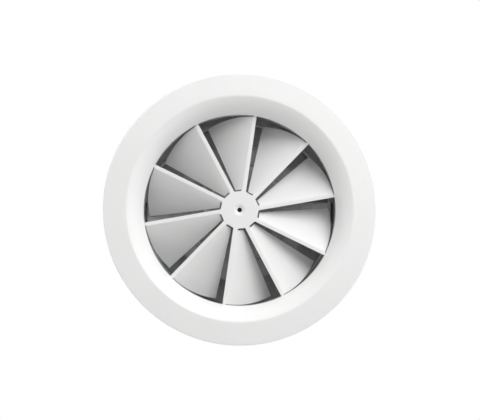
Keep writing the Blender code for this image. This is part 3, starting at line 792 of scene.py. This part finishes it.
class DIFFUSER_OT_neck(bpy.types.Operator):
    """Form the neck collar with its flange and seal groove, and the rubber lip seal in the groove"""

    bl_idname = "diffuser.neck"
    bl_label = "Neck and Lip Seal"

    GROOVE_LOW = 0.097
    GROOVE_HIGH = 0.108
    GROOVE_DEPTH = 0.0025
    FOOT_BEND = 0.0015
    SEAL_BASE = 0.0019

    def execute(self, context):
        sizes = context.scene.diffuser_sizes
        outer = sizes.neck_radius
        depth = self.GROOVE_DEPTH
        flange = NECK_LOW.z + sizes.neck_sheet
        skin = [(outer, NECK_HIGH.z)]
        skin += self.groove_side(outer, self.GROOVE_HIGH, 1)
        skin += self.groove_side(outer, self.GROOVE_LOW, -1)[::-1]
        skin += arc((outer + self.FOOT_BEND, flange + self.FOOT_BEND), self.FOOT_BEND, 180, 270, 6)
        skin.append((FLANGE_RADIUS, flange))
        neck = turned("neck_collar_rolled", sheet_profile(skin, sizes.neck_sheet), ROUND)
        drill(neck, flange_rivet_places(NECK_LOW.z), RIVET_HOLE, 4 * sizes.neck_sheet)
        wall = bridge_rivet_places(outer) + seat_rivet_places(outer)
        drill(neck, wall, RIVET_HOLE, 8 * sizes.neck_sheet)
        finish_piece(neck, "housing", ["neck_collar"], FINISHES["galvanised"], 32)

        bottom = outer - depth + GAP
        face = bottom + self.SEAL_BASE
        low, high = SEAL_LOW.z + GAP, SEAL_HIGH.z
        middle = (low + high) / 2
        tip = SEAL_HIGH.x
        profile = [(face - 0.0004, high)]
        profile += self.lip((face, high - 0.0004), tip, middle)
        profile += self.lip((face, middle - 0.0003), tip, low)
        profile += [(bottom, low), (bottom, high)]
        seal = turned("lip_seal_ring", profile, ROUND)
        finish_piece(seal, "housing", ["lip_seal"], FINISHES["rubber"], 40)
        return {"FINISHED"}

    def lip(self, root, tip, under):
        """A soft lip of the seal: from its root out and down to the tip, and back in along its underside."""
        points = curve_between(root, (tip - 0.002, under + 0.0026), (tip, under + 0.0006), 6)
        points += [(tip - 0.0001, under + 0.0002), (tip - 0.0006, under + 0.0001), (root[0], under)]
        return points

    def groove_side(self, outer, height, side):
        """One side of the seal groove, from the neck's wall in to its floor: side 1 is above it."""
        half = (outer - self.GROOVE_DEPTH / 2, height - side * 0.0005)
        floor = outer - self.GROOVE_DEPTH
        points = curve_between((outer, height + side * 0.0006), (outer, height), half, 4)
        points += curve_between(half, (floor, height - side * 0.001), (floor, height - side * 0.0018), 4)[1:]
        return points


class DIFFUSER_OT_gasket(bpy.types.Operator):
    """Lay the foam gasket in the back of the face ring, where it meets the ceiling"""

    bl_idname = "diffuser.gasket"
    bl_label = "Ceiling Gasket"

    SOFT_EDGE = 0.0007

    def execute(self, context):
        sizes = context.scene.diffuser_sizes
        slope = math.tan(sizes.face_slope)
        back = sizes.ring_sheet / math.cos(sizes.face_slope) + GAP
        inner, outer = GASKET_INNER, GASKET_HIGH.x
        edge = self.SOFT_EDGE
        top = GASKET_HIGH.z

        def under(radius):
            return (radius - sizes.bead_radius) * slope + back

        profile = arc((outer - edge, top - edge), edge, 90, 0, 4)
        profile += [(outer, under(outer) + edge), (outer - edge, under(outer - edge))]
        profile += [(inner + edge, under(inner + edge)), (inner, under(inner) + edge)]
        profile += arc((inner + edge, top - edge), edge, 180, 90, 4)
        gasket = turned("ceiling_gasket_foam", profile, ROUND)
        finish_piece(gasket, "housing", ["ceiling_gasket"], FINISHES["foam"], 40)
        return {"FINISHED"}


class DIFFUSER_OT_bridge(bpy.types.Operator):
    """Fold the bridge bar that spans the neck, and stand the two guide rods on it"""

    bl_idname = "diffuser.bridge"
    bl_label = "Bridge and Guide Rods"

    BEND = 0.003
    BEND_STEPS = 6
    BUSH_HOLE = 0.0064
    ROD_RADIUS = 0.003
    STUB_RADIUS = 0.002
    ROD_CROWN = 0.0007
    STUB_DOME = 0.0012

    def execute(self, context):
        face = BAR_HIGH.x
        width = BAR_HIGH.y - BAR_LOW.y
        foot = BAR_HIGH.z - BAR_LOW.z
        deselect_all()
        bpy.ops.mesh.primitive_plane_add(size=1, location=(0, 0, BAR_LOW.z))
        bar = named(bpy.context.object, "bridge_bar_folded")
        bend = self.BEND
        bar.scale = (2 * (face - bend), width, 1)
        apply_place(bar)
        open_edit(bar)
        for side in (1, -1):
            select_where(bar, lambda point, side=side: point.x * side > face - bend - 1e-6)
            turn = math.radians(90 / self.BEND_STEPS)
            for step in range(self.BEND_STEPS):
                angle = turn * (step + 0.5)
                length = 2 * bend * math.sin(turn / 2)
                move = (side * length * math.cos(angle), 0, length * math.sin(angle))
                bpy.ops.mesh.extrude_edges_move(TRANSFORM_OT_translate={"value": move})
            bpy.ops.mesh.extrude_edges_move(TRANSFORM_OT_translate={"value": (0, 0, foot - bend)})
        bpy.ops.mesh.select_all(action="SELECT")
        bpy.ops.mesh.normals_make_consistent(inside=False)
        close_edit()
        sheet = bar.modifiers.new("Sheet", "SOLIDIFY")
        sheet.thickness = BRIDGE_SHEET
        flat = max(bar.data.polygons, key=lambda polygon: polygon.area)
        sheet.offset = 1 if flat.normal.z > 0 else -1
        sheet.use_even_offset = True
        bpy.ops.object.modifier_apply(modifier=sheet.name)
        outward(bar)
        middle = [((0, 0, BAR_LOW.z), (0, 0, 1))]
        drill(bar, middle, self.BUSH_HOLE, 5 * BRIDGE_SHEET, SMALL_ROUND)
        rods = [((side * ROD_SPACING, 0, BAR_LOW.z), (0, 0, 1)) for side in (1, -1)]
        drill(bar, rods, self.STUB_RADIUS + GAP, 5 * BRIDGE_SHEET)
        drill(bar, bridge_rivet_places(face), RIVET_HOLE, 5 * BRIDGE_SHEET)
        soften(bar, 0.0003, 2, 50)
        finish_piece(bar, "housing", ["bridge_bar"], FINISHES["galvanised"], 30)

        low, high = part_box("guide_rod_1")
        deck = BAR_LOW.z + BRIDGE_SHEET + GAP
        radius, stub = self.ROD_RADIUS, self.STUB_RADIUS
        crown, dome = self.ROD_CROWN, self.STUB_DOME
        tail = BAR_LOW.z - GAP
        profile = arc((radius - crown, high.z - crown), crown, 80, 0, 4)
        profile += [(radius, deck + 0.0003), (radius - 0.0003, deck), (stub, deck), (stub, tail)]
        profile += arc((radius - dome, tail), dome, 0, -80, 5)
        rod = turned("guide_rod", profile, 32, hollow=False)
        if low.z > tail:
            raise RuntimeError("the guide rods end above the bridge")
        places = [((side * ROD_SPACING, 0, 0), (0, 0, 1)) for side in (1, -1)]
        for number, piece in enumerate(copies(rod, "guide_rod_turned", places), 1):
            finish_piece(piece, "housing", [f"guide_rod_{number}"], FINISHES["plate"])
        return {"FINISHED"}


class DIFFUSER_OT_spindle(bpy.types.Operator):
    """Turn the threaded spindle with its key socket, and its bush, thrust washer and circlip"""

    bl_idname = "diffuser.spindle"
    bl_label = "Spindle and Bush"

    CLIP_GROOVE = 0.0008
    COLLAR_RADIUS = 0.007
    COLLAR_HEIGHT = 0.003
    NOSE_RADIUS = 0.0028
    NOSE_LENGTH = 0.012
    SOCKET_RADIUS = 0.00173
    SOCKET_REACH = 0.008
    THREAD_RINGS = 190
    THREAD_DEPTH = 0.00045
    BUSH_WALL = 0.0018
    BUSH_FLANGE = 0.0015

    def execute(self, context):
        sizes = context.scene.diffuser_sizes
        low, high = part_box("adjusting_spindle")
        clip_low, clip_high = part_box("spindle_circlip")
        washer_low, washer_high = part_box("thrust_washer")
        radius = sizes.spindle_radius
        groove = radius - self.CLIP_GROOVE
        collar_top = washer_low.z - GAP
        collar_low = collar_top - self.COLLAR_HEIGHT
        collar, collar_flat = self.COLLAR_RADIUS, self.COLLAR_RADIUS - 0.0003
        nose = self.NOSE_RADIUS
        nose_top = low.z + self.NOSE_LENGTH
        thread_low, thread_high = clip_high.z + 0.003, high.z - 0.0009
        thread_step = (thread_high - thread_low) / self.THREAD_RINGS
        profile = [(radius - 0.0012, high.z), (radius - 0.0005, high.z - 0.0006)]
        profile += [(radius, thread_high - thread_step * ring) for ring in range(self.THREAD_RINGS + 1)]
        profile += [(radius - 0.0001, clip_high.z + GAP), (groove, clip_high.z + GAP)]
        profile += [(groove, clip_low.z - GAP), (radius - 0.0001, clip_low.z - GAP)]
        profile += [(radius, clip_low.z - 0.0006), (radius, collar_top)]
        profile += [(collar_flat, collar_top), (collar, collar_top - 0.0003)]
        profile += [(collar, collar_low + 0.0003), (collar_flat, collar_low), (radius, collar_low)]
        profile += [(radius, nose_top + 0.0005), (radius - 0.0005, nose_top), (nose, nose_top)]
        profile += [(nose, low.z + 0.0004), (nose - 0.0004, low.z)]
        spindle = turned("adjusting_spindle_turned", profile, SMALL_ROUND, hollow=False)
        self.cut_thread(spindle, sizes, thread_low, thread_high)
        drill(spindle, [((0, 0, low.z), (0, 0, 1))], self.SOCKET_RADIUS, self.SOCKET_REACH, 6)
        # The spindle takes the near-black finish that paints the shade seen through the hub's hole.
        finish_piece(spindle, "spindle", ["adjusting_spindle"], FINISHES["spindle"], 35)

        bore = radius + GAP
        bush_low, bush_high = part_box("spindle_bush")
        bush_radius = radius + self.BUSH_WALL + GAP
        flange = bush_high.x
        flange_top = bush_low.z + self.BUSH_FLANGE
        profile = [(bush_radius - 0.0003, bush_high.z), (bush_radius, bush_high.z - 0.0003)]
        profile += [(bush_radius, flange_top), (flange - 0.0003, flange_top), (flange, flange_top - 0.0003)]
        profile += [(flange, bush_low.z + 0.0003), (flange - 0.0003, bush_low.z)]
        profile += [(bore + 0.0002, bush_low.z), (bore, bush_low.z + 0.0002)]
        profile += [(bore, bush_high.z - 0.0002), (bore + 0.0002, bush_high.z)]
        bush = turned("spindle_bush_moulded", profile)
        finish_piece(bush, "housing", ["spindle_bush"], FINISHES["nylon"])

        edge = 0.00015
        outer = washer_high.x
        profile = [(outer - edge, washer_high.z), (outer, washer_high.z - edge), (outer, washer_low.z + edge)]
        profile += [(outer - edge, washer_low.z), (bore, washer_low.z), (bore, washer_high.z)]
        washer = turned("thrust_washer_stamped", profile)
        finish_piece(washer, "spindle", ["thrust_washer"], FINISHES["plate"])

        outer = clip_high.x
        inner = groove + GAP
        profile = [(outer, clip_high.z), (outer, clip_low.z), (inner, clip_low.z), (inner, clip_high.z)]
        clip = turned("spindle_circlip_stamped", profile)
        deselect_all()
        mouth_size = (0.003, 2 * outer, 0.004)
        bpy.ops.mesh.primitive_cube_add(size=1, location=(0, outer, clip_low.z), scale=mouth_size)
        mouth = apply_place(bpy.context.object)
        combine(clip, mouth, "DIFFERENCE")
        scoops = [((side * 0.0052, -0.0028, clip_low.z), (0, 0, 1)) for side in (1, -1)]
        drill(clip, scoops, 0.0011, 0.004)
        soften(clip, 0.00012, 2, 50)
        finish_piece(clip, "spindle", ["spindle_circlip"], FINISHES["plate"])
        return {"FINISHED"}

    def cut_thread(self, spindle, sizes, low, high):
        """Presses a right-hand two-start thread into the smooth shank."""
        for vertex in spindle.data.vertices:
            across = math.hypot(vertex.co.x, vertex.co.y)
            if vertex.co.z < low - 1e-6 or vertex.co.z > high + 1e-6 or across < 0.001:
                continue
            angle = math.atan2(vertex.co.y, vertex.co.x)
            phase = 2 * (vertex.co.z / sizes.thread_lead - angle / (2 * math.pi))
            fade = min(1.0, (vertex.co.z - low) / 0.002, (high - vertex.co.z) / 0.001)
            wave = 0.5 - 0.5 * math.cos(2 * math.pi * phase)
            scale = 1 - self.THREAD_DEPTH * fade * wave / across
            vertex.co.x *= scale
            vertex.co.y *= scale


class DIFFUSER_OT_throttle(bpy.types.Operator):
    """Press the throttle disc and fit its threaded nut and guide bushes"""

    bl_idname = "diffuser.throttle"
    bl_label = "Throttle Disc"

    SHEET = 0.0012
    BEND = 0.0015
    MIDDLE_HOLE = 0.0088
    BEAD_RADIUS = 0.064
    BEAD_SHOULDER = 0.0006
    BEAD_CREST = 0.0015
    GUIDE_BORE = 0.0033
    GUIDE_WALL = 0.0017
    NUT_RADIUS = 0.0085
    NUT_FLANGE = 0.003

    def execute(self, context):
        sizes = context.scene.diffuser_sizes
        sheet = self.SHEET
        top = DISC_HIGH.z
        bend = self.BEND
        outer = sizes.disc_radius
        bead, shoulder, crest = self.BEAD_RADIUS, top + self.BEAD_SHOULDER, top + self.BEAD_CREST
        skin = [(self.MIDDLE_HOLE, top)]
        skin += curve_between((bead - 0.004, top), (bead - 0.0025, top), (bead - 0.0015, shoulder), 4)
        skin += curve_between((bead - 0.0015, shoulder), (bead, crest), (bead + 0.0015, shoulder), 6)[1:]
        skin += curve_between((bead + 0.0015, shoulder), (bead + 0.0025, top), (bead + 0.004, top), 4)[1:]
        skin += arc((outer - bend, top - bend), bend, 90, 0, 6)
        skin.append((outer, DISC_LOW.z))
        disc = turned("throttle_disc_pressed", sheet_profile(skin, sheet), ROUND)
        rivets = circle_places(DISC_RIVETS, DISC_RIVET_CIRCLE, top, math.pi / 2)
        drill(disc, rivets, RIVET_HOLE, 5 * sheet)
        guide_low, guide_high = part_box("guide_bush_1")
        bore = self.GUIDE_BORE
        barrel = bore + self.GUIDE_WALL
        guides = [((side * ROD_SPACING, 0, top), (0, 0, 1)) for side in (1, -1)]
        drill(disc, guides, barrel + GAP, 5 * sheet, SMALL_ROUND)
        finish_piece(disc, "throttle", ["throttle_disc"], FINISHES["galvanised"], 32)

        low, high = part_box("disc_nut")
        radius, flange = self.NUT_RADIUS, high.x
        flange_top = low.z + self.NUT_FLANGE
        bore_nut = sizes.spindle_radius + GAP
        profile = [(radius - 0.0006, high.z), (radius, high.z - 0.0006), (radius, flange_top)]
        profile += [(flange - 0.0004, flange_top), (flange, flange_top - 0.0004)]
        profile += [(flange, low.z + 0.0004), (flange - 0.0004, low.z)]
        profile += [(bore_nut + 0.0005, low.z), (bore_nut, low.z + 0.0005)]
        profile += [(bore_nut, high.z - 0.0005), (bore_nut + 0.0005, high.z)]
        nut = turned("disc_nut_turned", profile)
        drill(nut, rivets, RIVET_HOLE, 0.02)
        finish_piece(nut, "throttle", ["disc_nut"], FINISHES["brass"])

        lip = guide_high.x - ROD_SPACING
        over, under = top + GAP, top - sheet - GAP
        profile = [(lip - 0.0003, guide_high.z), (lip, guide_high.z - 0.0003), (lip, over), (barrel, over)]
        profile += [(barrel, under), (lip, under), (lip, guide_low.z + 0.0003), (lip - 0.0003, guide_low.z)]
        profile += [(bore + 0.0003, guide_low.z), (bore, guide_low.z + 0.0003)]
        profile += [(bore, guide_high.z - 0.0003), (bore + 0.0003, guide_high.z)]
        guide = turned("guide_bush", profile)
        places = [((side * ROD_SPACING, 0, 0), (0, 0, 1)) for side in (1, -1)]
        for number, piece in enumerate(copies(guide, "guide_bush_moulded", places), 1):
            finish_piece(piece, "throttle", [f"guide_bush_{number}"], FINISHES["nylon"])
        return {"FINISHED"}


class DIFFUSER_OT_seat_ring(bpy.types.Operator):
    """Form the seat ring that the throttle disc closes against"""

    bl_idname = "diffuser.seat_ring"
    bl_label = "Seat Ring"

    BEND = 0.0012
    INNER = 0.084
    LIP = 0.004

    def execute(self, context):
        outer = SEAT_HIGH.x
        low = SEAT_LOW.z
        bend, inner = self.BEND, self.INNER
        skin = [(outer, SEAT_HIGH.z)]
        skin += arc((outer - bend, low + bend), bend, 0, -90, 6)
        skin += arc((inner + bend, low + bend), bend, -90, -180, 6)
        skin.append((inner, low + self.LIP))
        seat = turned("seat_ring_formed", sheet_profile(skin, SEAT_SHEET), ROUND)
        drill(seat, seat_rivet_places(outer), RIVET_HOLE, 8 * SEAT_SHEET)
        finish_piece(seat, "housing", ["seat_ring"], FINISHES["galvanised"], 32)
        return {"FINISHED"}


class DIFFUSER_OT_rivets(bpy.types.Operator):
    """Set the rivets through the flanges, the bridge feet, the seat ring and the disc nut"""

    bl_idname = "diffuser.rivets"
    bl_label = "Rivets"

    HEAD_RADIUS = 0.0034
    HEAD_HEIGHT = 0.0013
    TAIL_RADIUS = 0.0027

    def execute(self, context):
        sizes = context.scene.diffuser_sizes
        outer = sizes.neck_radius
        ring_under = RING_HIGH.z - sizes.ring_sheet
        flange_top = NECK_LOW.z + sizes.neck_sheet
        nut_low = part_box("disc_nut")[0].z
        foot_stack = outer - BAR_HIGH.x + BRIDGE_SHEET
        seat_stack = outer - SEAT_HIGH.x + SEAT_SHEET
        nut_places = circle_places(DISC_RIVETS, DISC_RIVET_CIRCLE, nut_low, math.pi / 2)
        sets = (
            ("flange_rivet", flange_rivet_places(ring_under), flange_top - ring_under, "housing"),
            ("bridge_rivet", bridge_rivet_places(outer), foot_stack, "housing"),
            ("seat_rivet", seat_rivet_places(outer), seat_stack, "housing"),
            ("disc_rivet", nut_places, DISC_HIGH.z - nut_low, "throttle"),
        )
        for name, places, grip, body in sets:
            rivet = self.rivet(name, grip)
            for number, piece in enumerate(copies(rivet, f"{name}_set", places), 1):
                finish_piece(piece, body, [f"{name}_{number}"], FINISHES["rivet"], 35)
        return {"FINISHED"}

    def rivet(self, name, grip):
        """A pulled rivet: domed head with its drawn hole below, shank and spread tail above."""
        head, height, tail = self.HEAD_RADIUS, self.HEAD_HEIGHT, self.TAIL_RADIUS
        top = grip + GAP
        profile = [(tail - 0.0007, top + height), (tail - 0.0002, top + height - 0.0003)]
        profile += [(tail, top + height - 0.0008), (tail - 0.0003, top), (RIVET_RADIUS, top)]
        profile += [(RIVET_RADIUS, -GAP), (head - 0.0001, -GAP), (head, -GAP - 0.00015)]
        profile += [(head - 0.0001, -GAP - 0.0004), (0.0029, -GAP - 0.0008), (0.0022, -GAP - 0.0011)]
        profile += [(0.0015, -GAP - height), (0.0010, -GAP - height), (0.0009, -GAP - height + 0.0002)]
        profile += [(0.0009, -GAP - height + 0.0008)]
        return turned(name, profile, RIVET_ROUND, hollow=False)


class DIFFUSER_OT_stage(bpy.types.Operator):
    """Set the pale floor, the soft studio light and the camera that looks up at the face"""

    bl_idname = "diffuser.stage"
    bl_label = "Stage"

    FLOOR_HEIGHT = -2.3
    FLOOR_SIZE = 14
    SKY_SIDE = 1.56
    SKY_OVERHEAD = 0.06
    KEY_PLACE = (0.95, -1.65, -1.65)
    KEY_SIZE = 1.9
    KEY_POWER = 45
    CAMERA_DISTANCE = 2.0
    CAMERA_LEAN = (math.radians(-0.8), math.radians(5))
    CAMERA_AIM = (0.0001, 0.0024, 0.0)
    FRAME_WIDTH = 0.6125
    SENSOR_WIDTH = 36

    def execute(self, context):
        scene = context.scene
        scene.view_settings.view_transform = "Standard"
        self.floor()
        self.sky(scene)
        self.lamp("key_light", self.KEY_PLACE, self.KEY_SIZE, self.KEY_POWER)
        self.camera(scene)
        return {"FINISHED"}

    def floor(self):
        deselect_all()
        bpy.ops.mesh.primitive_plane_add(size=self.FLOOR_SIZE, location=(0, 0, self.FLOOR_HEIGHT))
        floor = apply_place(named(bpy.context.object, "studio_floor"))
        floor.data.materials.append(plain_finish("pale_floor", (0.88, 0.88, 0.88), 0.8))

    def sky(self, scene):
        """Soft light all round, weaker from overhead, on a white background."""
        world = bpy.data.worlds.new("studio")
        scene.world = world
        world.use_nodes = True
        nodes, links = world.node_tree.nodes, world.node_tree.links
        light = nodes["Background"]
        place = nodes.new("ShaderNodeTexCoord")
        split = nodes.new("ShaderNodeSeparateXYZ")
        level = nodes.new("ShaderNodeMapRange")
        level.inputs["From Min"].default_value = 0.25
        level.inputs["From Max"].default_value = 0.75
        level.inputs["To Min"].default_value = self.SKY_SIDE
        level.inputs["To Max"].default_value = self.SKY_OVERHEAD
        links.new(place.outputs["Generated"], split.inputs["Vector"])
        links.new(split.outputs["Z"], level.inputs["Value"])
        links.new(level.outputs["Result"], light.inputs["Strength"])
        light.inputs["Color"].default_value = (1, 1, 1, 1)
        backdrop = nodes.new("ShaderNodeBackground")
        backdrop.inputs["Color"].default_value = (1, 1, 1, 1)
        backdrop.inputs["Strength"].default_value = 1.0
        path = nodes.new("ShaderNodeLightPath")
        mix = nodes.new("ShaderNodeMixShader")
        links.new(path.outputs["Is Camera Ray"], mix.inputs["Fac"])
        links.new(light.outputs["Background"], mix.inputs[1])
        links.new(backdrop.outputs["Background"], mix.inputs[2])
        links.new(mix.outputs["Shader"], nodes["World Output"].inputs["Surface"])

    def lamp(self, name, place, size, power):
        data = bpy.data.lights.new(name, "AREA")
        data.shape = "DISK"
        data.size = size
        data.energy = power
        lamp = bpy.data.objects.new(name, data)
        lamp.location = place
        lamp.rotation_euler = (-Vector(place)).to_track_quat("-Z", "Y").to_euler()
        bpy.context.scene.collection.objects.link(lamp)

    def camera(self, scene):
        """Under the diffuser, looking up at its face from a little off its axis."""
        distance = self.CAMERA_DISTANCE
        data = bpy.data.cameras.new("camera")
        data.sensor_width = self.SENSOR_WIDTH
        data.lens = self.SENSOR_WIDTH * distance / self.FRAME_WIDTH
        camera = bpy.data.objects.new("camera", data)
        aim = Vector(self.CAMERA_AIM)
        away = Vector((math.tan(self.CAMERA_LEAN[0]), math.tan(self.CAMERA_LEAN[1]), -1)).normalized()
        right = Vector((0, -1, 0)).cross(away).normalized()
        up = away.cross(right)
        turn = Matrix((right, up, away)).transposed().to_4x4()
        camera.matrix_world = Matrix.Translation(aim + away * distance) @ turn
        scene.collection.objects.link(camera)
        scene.camera = camera


class DIFFUSER_PT_panel(bpy.types.Panel):
    """Lists the diffuser's sizes, colours and pieces"""

    bl_idname = "DIFFUSER_PT_panel"
    bl_label = "Ceiling Swirl Diffuser"
    bl_space_type = "VIEW_3D"
    bl_region_type = "UI"
    bl_category = "Diffuser"

    def draw(self, context):
        column = self.layout.column(align=True)
        for group in (context.scene.diffuser_sizes, context.scene.diffuser_finishes):
            for name in group.__annotations__:
                column.prop(group, name)
        for operator in PIECES:
            column.operator(operator.bl_idname)


PIECES = (
    DIFFUSER_OT_face_ring,
    DIFFUSER_OT_swirl_core,
    DIFFUSER_OT_neck,
    DIFFUSER_OT_gasket,
    DIFFUSER_OT_bridge,
    DIFFUSER_OT_spindle,
    DIFFUSER_OT_throttle,
    DIFFUSER_OT_seat_ring,
    DIFFUSER_OT_rivets,
    DIFFUSER_OT_stage,
)
CLASSES = (DiffuserSizes, DiffuserFinishes, *PIECES, DIFFUSER_PT_panel)


def register():
    for cls in CLASSES:
        bpy.utils.register_class(cls)
    bpy.types.Scene.diffuser_sizes = bpy.props.PointerProperty(type=DiffuserSizes)
    bpy.types.Scene.diffuser_finishes = bpy.props.PointerProperty(type=DiffuserFinishes)


def unregister():
    del bpy.types.Scene.diffuser_finishes
    del bpy.types.Scene.diffuser_sizes
    for cls in reversed(CLASSES):
        bpy.utils.unregister_class(cls)


def main():
    register()
    make_finishes(bpy.context.scene.diffuser_finishes)
    for operator in PIECES:
        group, name = operator.bl_idname.split(".")
        getattr(getattr(bpy.ops, group), name)()


if __name__ == "__main__":
    main()
